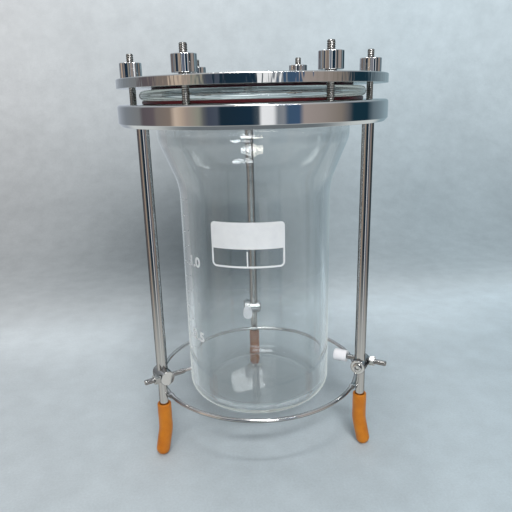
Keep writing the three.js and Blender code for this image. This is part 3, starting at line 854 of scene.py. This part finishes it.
# Brightness of the sheet by the length from its front edge: a pale bench with a strip of painted light
# where it ends, then a wall with painted shade, darkest at its foot and lighter upwards.
sheetTones = [(1.45, 188), (1.62, 188), (1.70, 191), (1.76, 207), (1.81, 213), (1.85, 206), (1.90, 191),
              (1.96, 177), (2.07, 167), (2.15, 167), (2.22, 169), (2.34, 182), (2.45, 196), (2.55, 206),
              (2.64, 213), (2.9, 217)]


# Floor and wall in one sheet: flat, then a quarter circle, then straight up. Width runs along X.
def backdropPoints():
    r, far = studio["sweepRadius"], studio["wallDistance"]
    q = np.linspace(0, np.pi / 2, 40)
    floor = np.linspace(studio["sheetFront"], far - r, 80)[:-1]
    wall = np.linspace(r + 0.02, studio["wallTop"], 50)
    y = np.concatenate([floor, far - r + r * np.sin(q), np.full(len(wall), far)])[:, None]
    z = np.concatenate([0 * floor, r - r * np.cos(q), wall])[:, None]
    x = np.linspace(-studio["halfWidth"], studio["halfWidth"], 120)[None, :]
    return np.stack([x + 0 * y, y + 0 * x, z + 0 * x], -1)


# The sheet's colour at each point: its tone by length, less the painted shadows in bell-shaped dark
# patches, and bluer to the right. The fourth channel rises from 0 on the bench to 1 on the wall.
def sheetColours(points):
    lengths = np.concatenate([[0], np.cumsum(np.linalg.norm(np.diff(points[:, 0], axis=0), axis=1))])
    along, x = lengths[:, None], points[..., 0]
    # The strip of painted light where the bench ends, tilted across the sheet.
    strip = np.exp(-((along - studio["litStripAlong"]) / studio["litStripWide"]) ** 2)
    along = along + studio["litStripTilt"] * x * strip
    tone = np.interp(along, *zip(*sheetTones))
    # Each painted shadow darkens the tone in a soft bell.
    for patchX, patchAlong, wide, tall, depth in studio["paintedShadows"]:
        spread = ((x - patchX) / wide) ** 2 + ((along - patchAlong) / tall) ** 2
        tone = tone * (1 - depth * np.exp(-spread / 2))
    wall = np.clip((along - studio["wallFrom"]) / (studio["wallTo"] - studio["wallFrom"]), 0, 1)
    wall = wall * wall * (3 - 2 * wall) + 0 * x
    right = np.clip((x + 0.45) / 0.8, 0, 1)
    colour = linear(np.stack([tone - 3 - 9 * right, tone + 0.5 + 2 * right, tone + 3 + 7 * right], -1))
    colour = colour * (wall + (1 - wall) / studio["floorLight"])[..., None]
    return np.concatenate([colour, wall[..., None]], -1)


# The bench takes light and shadow, and the wall shows its own tone to the camera and through glass.
def makeBackdropPaint():
    material, tree, shader = newMaterial("backdrop paint", {"Roughness": 0.8, "Specular IOR Level": 0.1})
    tone = addNode(tree, "ShaderNodeAttribute", attribute_name="tone")
    place = objectPlace(tree)
    colour = tone.outputs["Color"]
    for scale, share in studio["clouds"]:
        cloud = addNoise(tree, place, scale, 3.0, 0.6)
        colour = scaled(tree, colour, ranged(tree, cloud, 0.3, 0.7, 1 - share, 1 + share))
    fill(tree, shader, {"Base Color": colour})
    path = addNode(tree, "ShaderNodeLightPath").outputs
    dim = calc(tree, "MULTIPLY_ADD", path["Is Transmission Ray"], -studio["dimBehindGlass"], 1.0)
    glow = addNode(tree, "ShaderNodeEmission", {"Color": colour, "Strength": dim})
    seen = calc(tree, "MAXIMUM", path["Is Camera Ray"], path["Is Transmission Ray"])
    direct = calc(tree, "SUBTRACT", seen, path["Diffuse Depth"], use_clamp=True)
    share = calc(tree, "MULTIPLY", direct, tone.outputs["Alpha"])
    mix = addNode(tree, "ShaderNodeMixShader", {0: share, 1: shader, 2: glow})
    fill(tree, tree.nodes["Material Output"], {"Surface": mix})
    return material


sheet = backdropPoints()
backdropMesh = gridMesh("backdrop", sheet, wrap=False)
tones = backdropMesh.color_attributes.new("tone", "FLOAT_COLOR", "POINT")
tones.data.foreach_set("color", sheetColours(sheet).ravel())
backdrop = bpy.data.objects.new("backdrop", backdropMesh)
scene.collection.objects.link(backdrop)
backdropMesh.materials.append(makeBackdropPaint())
backdrop.visible_glossy = False  # steel reflects the room below instead


# Stands an object at a place with its X, Y and Z along three directions.
def setFrame(thing, x, y, z, place):
    rows = np.stack([x, y, z, np.array(place, float)], 1).tolist()
    thing.matrix_world = Matrix(rows + [[0, 0, 0, 1]])


# An area lamp at a place, facing a target, with the brightness its face shows.
def addLamp(name, place, size, brightness, target=(0, 0, 0.1), colour=(1, 1, 1)):
    light = bpy.data.lights.new(name, "AREA")
    light.shape, light.size, light.size_y = "RECTANGLE", size[0], size[1]
    light.energy, light.color = brightness * np.pi * size[0] * size[1], colour
    lamp = bpy.data.objects.new(name, light)
    scene.collection.objects.link(lamp)
    back = np.array(place, float) - np.array(target, float)
    back /= np.linalg.norm(back)
    side = np.cross([0, 0, 1.0], back)
    side /= np.linalg.norm(side)
    setFrame(lamp, side, np.cross(back, side), back, place)
    return lamp


lamps = {
    "ceiling tube": {"place": (-0.02, -0.8, 1.75), "size": (0.5, 0.12), "brightness": 30},
    "far tube": {"place": (0.3, -3.0, 2.85), "size": (1.2, 0.22), "brightness": 38},
    "softbox in front": {"place": (-0.22, -1.35, 0.8), "size": (1.5, 0.38), "brightness": 3.8,
                         "target": (0, 0, 0.15), "colour": (1.0, 0.985, 0.955)},
    "softbox above": {"place": (-0.1, -0.05, 1.6), "size": (0.5, 0.4), "brightness": 9},
    # A small oval window low in front of the wall. The vessel's base mirrors it.
    "far window": {"place": (-0.004, 0.7, 0.439), "size": (0.1, 0.042), "brightness": 1.5,
                   "target": (0, 0, 0.054)},
}
# Window panes and ceiling panels, by the angles they span as seen from the back of the neck:
# azimuths from the front towards +X, elevations and tilt in degrees. They stand two metres away.
panes = {
    "pane centre": {"azimuths": (2, 19), "elevations": (38.0, 39.9), "brightness": 30,
                    "colour": (0.95, 0.98, 1.0)},
    "pane warm": {"azimuths": (-18, -1), "elevations": (38.05, 39.3), "brightness": 24,
                  "colour": (1.0, 0.93, 0.82)},
    "pane low right": {"azimuths": (15, 37), "elevations": (35.0, 36.1), "brightness": 26,
                       "colour": (0.93, 0.97, 1.0), "tilt": -6},
    "pane low middle": {"azimuths": (0, 13), "elevations": (35.0, 37.0), "brightness": 24,
                        "colour": (0.93, 0.97, 1.0)},
}
paneView = {"from": (0, 0.06, 0.22), "away": 2.0}


def addPane(name, azimuths, elevations, brightness, colour, tilt=0):
    seenFrom, away = np.array(paneView["from"]), paneView["away"]
    a, e = radians(sum(azimuths) / 2), radians(sum(elevations) / 2)
    towards = np.array([np.sin(a) * np.cos(e), -np.cos(a) * np.cos(e), np.sin(e)])
    wide = away * np.cos(e) * radians(azimuths[1] - azimuths[0])
    tall = away * radians(elevations[1] - elevations[0])
    pane = addLamp(name, seenFrom + away * towards, (wide, tall), brightness, seenFrom, colour)
    pane.rotation_euler.rotate_axis("Z", radians(tilt))


for name, values in panes.items():
    addPane(name, **values)
lampObjects = {name: addLamp(name, **values) for name, values in lamps.items()}
lampObjects["softbox in front"].visible_glossy = False  # it lights the steel but isn't mirrored in it
lampObjects["far window"].visible_camera = False
lampObjects["far window"].data.shape = "ELLIPSE"

# The room that polished steel mirrors: degrees round from the front towards +X, and the tone there.
roomTones = [
    (-180, (164, 172, 180)), (-150, (136, 142, 150)), (-132, (114, 120, 126)), (-108, (114, 116, 118)),
    (-103, (86, 80, 84)), (-90, (92, 84, 88)), (-86, (112, 104, 100)), (-72, (122, 110, 102)),
    (-67, (188, 171, 155)), (-62, (174, 157, 141)), (-56, (148, 135, 126)), (-46, (132, 133, 122)),
    (-42, (88, 90, 92)), (-38, (64, 70, 83)), (-31, (68, 76, 88)), (-28, (26, 42, 54)),
    (-4, (24, 44, 60)), (1.5, (66, 76, 84)), (4, (226, 227, 228)), (13.5, (220, 221, 223)),
    (16, (118, 124, 130)), (21.5, (124, 128, 134)), (24.5, (58, 80, 104)), (34, (58, 80, 106)),
    (38, (148, 138, 134)), (54, (140, 131, 126)), (72, (120, 112, 105)), (79, (90, 90, 92)),
    (85, (22, 46, 58)), (103, (22, 46, 58)), (113, (94, 108, 116)), (140, (122, 140, 148)),
]
# Zones laid over it by the height of the direction looked in: each fades in between two heights, and
# takes a share of the colour.
roomZones = {
    "bench": {"tone": (196, 200, 198), "start": -0.28, "full": -0.46, "share": 0.8},
    "under the bench": {"tone": (78, 86, 92), "start": -0.62, "full": -0.9, "share": 0.85},
    "ceiling": {"tone": (186, 190, 194), "start": 0.2, "full": 0.7, "share": 0.6},
}


# Steel mirrors the room, glass and the camera see a plain tone beyond the sheet, and everything
# else gets faint light from a pale sky.
def makeRoom():
    world = bpy.data.worlds.new("room")
    scene.world = world
    world.use_nodes = True
    tree = world.node_tree
    tree.nodes.clear()
    direction = addNode(tree, "ShaderNodeTexCoord")
    split = addNode(tree, "ShaderNodeSeparateXYZ", {0: direction.outputs["Generated"]}).outputs
    angle = calc(tree, "ARCTAN2", split[0], calc(tree, "MULTIPLY", split[1], -1.0))
    ramp = addNode(tree, "ShaderNodeValToRGB", {0: ranged(tree, angle, -np.pi, np.pi)})
    while len(ramp.color_ramp.elements) < len(roomTones):
        ramp.color_ramp.elements.new(0.5)
    for element, (degrees, tone) in zip(ramp.color_ramp.elements, roomTones):
        element.position, element.color = degrees / 360 + 0.5, (*linear(tone), 1)
    seen = ramp.outputs[0]
    for zone in roomZones.values():
        edge = ranged(tree, split[2], zone["start"], zone["full"], 0.0, zone["share"],
                      interpolation_type="SMOOTHSTEP")
        seen = blended(tree, edge, seen, (*linear(zone["tone"]), 1))
    room = addNode(tree, "ShaderNodeBackground", {"Color": seen, "Strength": studio["steelShine"]})
    sky = addNode(tree, "ShaderNodeBackground", {
        "Color": (0.9, 0.95, 1.0, 1), "Strength": studio["skyLight"]})
    beyond = addNode(tree, "ShaderNodeBackground", {
        "Color": (*linear(studio["beyondTone"]), 1), "Strength": 1.0})
    path = addNode(tree, "ShaderNodeLightPath").outputs
    through = calc(tree, "MAXIMUM", path["Is Camera Ray"], path["Is Transmission Ray"])
    current = sky
    for mask, shade in ((path["Is Glossy Ray"], room), (through, beyond), (path["Diffuse Depth"], sky)):
        current = addNode(tree, "ShaderNodeMixShader", {0: mask, 1: current, 2: shade})
    addNode(tree, "ShaderNodeOutputWorld", {"Surface": current})


makeRoom()


lens = {"length": 37.64, "eye": (-0.01985, -0.4073, 0.2654),
        "headingDeg": 2.736, "pitchDeg": 16.568, "rollDeg": -1.42}


# A camera at a place, from its heading (from +Y towards +X), its pitch down and its roll.
def addCamera():
    h, p, roll = (radians(lens[k]) for k in ("headingDeg", "pitchDeg", "rollDeg"))
    ahead = np.array([np.sin(h) * np.cos(p), np.cos(h) * np.cos(p), -np.sin(p)])
    level = np.array([np.cos(h), -np.sin(h), 0.0])
    side = np.cos(roll) * level + np.sin(roll) * np.cross(level, ahead)
    data = bpy.data.cameras.new("camera")
    data.lens, data.sensor_width, data.clip_start = lens["length"], 36, 0.01
    camera = bpy.data.objects.new("camera", data)
    scene.collection.objects.link(camera)
    setFrame(camera, side, np.cross(side, ahead), -ahead, lens["eye"])
    scene.camera = camera


addCamera()
scene.view_settings.view_transform = "Standard"
print("studio made")
